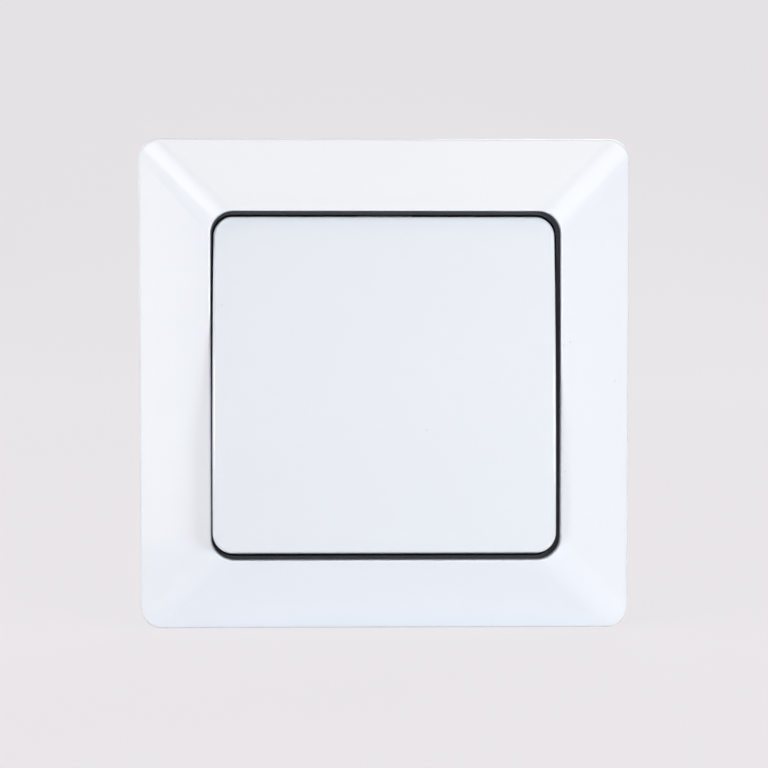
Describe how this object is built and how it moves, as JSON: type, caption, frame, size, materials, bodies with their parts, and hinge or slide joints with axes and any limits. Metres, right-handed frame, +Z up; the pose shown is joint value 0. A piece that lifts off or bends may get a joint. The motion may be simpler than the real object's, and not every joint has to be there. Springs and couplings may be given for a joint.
{
  "type": "push button light switch",
  "caption": "Flush push button light switch: square bevelled white cover frame round one large tilting key, on a steel support plate with claws and a contact block for a wall box.",
  "frame": {"origin": "centre of the box screw pattern on the wall surface, where the support plate's back lies", "axes": "+Y points into the wall, so the front looks along -Y; +Z is up and +X is to the right as seen from the front"},
  "size_m": [0.081, 0.0352, 0.081],
  "materials": {
    "white_plastic": "glossy moulded white",
    "dark_plastic": "satin charcoal",
    "grey_plastic": "fine moulded grey",
    "carrier_plastic": "smooth natural",
    "zinc_steel": "zinc plated",
    "spring_steel": "drawn wire",
    "brass": "bright stamped",
    "silver_contact": "satin silver"
  },
  "bodies": {
    "base": {"cover_frame": "white_plastic", "inner_ring": "dark_plastic", "support_plate": "zinc_steel", "base_housing": "grey_plastic", "bearing_cover": "grey_plastic", "cover_screws": "zinc_steel", "return_spring": "spring_steel", "common_strip": "brass", "fixed_strip": "brass", "fixed_contact_tip": "silver_contact", "line_terminal": "brass", "load_terminal": "brass", "line_terminal_screw": "zinc_steel", "load_terminal_screw": "zinc_steel", "claw_pin_left": "zinc_steel", "claw_pin_right": "zinc_steel"},
    "key": {"push_key": "white_plastic", "rocker_carrier": "carrier_plastic", "plunger_spring": "spring_steel"},
    "plunger": {"plunger": "carrier_plastic"},
    "contact": {"contact_rocker": "brass", "moving_contact_tip": "silver_contact"},
    "claw_left": {"claw_left": "zinc_steel"},
    "claw_right": {"claw_right": "zinc_steel"},
    "claw_screw_left": {"claw_screw_left": "zinc_steel"},
    "claw_screw_right": {"claw_screw_right": "zinc_steel"}
  },
  "joints": [
    {"name": "key_rock", "type": "hinge", "parent": "base", "child": "key", "pos_m": [0, -0.0055, 0], "axis": [1, 0, 0], "range_deg": [0, 9], "stiffness_Nm_per_rad": 0.15, "springref_deg": -11.46, "deforming": ["return_spring"]},
    {"name": "plunger_slide", "type": "slide", "parent": "key", "child": "plunger", "axis": [0, -0.9969, 0.0785], "range_m": [0, 0.0008], "stiffness_N_per_m": 400, "springref_m": -0.002, "deforming": ["plunger_spring"]},
    {"name": "contact_swing", "type": "hinge", "parent": "base", "child": "contact", "pos_m": [0, 0.01065, 0], "axis": [1, 0, 0], "range_deg": [-14, 0]},
    {"name": "claw_left_swing", "type": "hinge", "parent": "base", "child": "claw_left", "pos_m": [-0.026, 0.0045, 0], "axis": [0, 0, 1], "range_deg": [0, 20]},
    {"name": "claw_right_swing", "type": "hinge", "parent": "base", "child": "claw_right", "pos_m": [0.026, 0.0045, 0], "axis": [0, 0, -1], "range_deg": [0, 20]},
    {"name": "claw_screw_left_advance", "type": "slide", "parent": "base", "child": "claw_screw_left", "axis": [0, 1, 0], "range_m": [0, 0.0008]},
    {"name": "claw_screw_right_advance", "type": "slide", "parent": "base", "child": "claw_screw_right", "axis": [0, 1, 0], "range_m": [0, 0.0008]}
  ],
  "couplings": [
    {"joint": "contact_swing", "follows": "key_rock", "ratio": -1.5555},
    {"joint": "claw_left_swing", "follows": "claw_screw_left_advance", "rad_per_m": 392.7},
    {"joint": "claw_right_swing", "follows": "claw_screw_right_advance", "rad_per_m": 392.7}
  ]
}
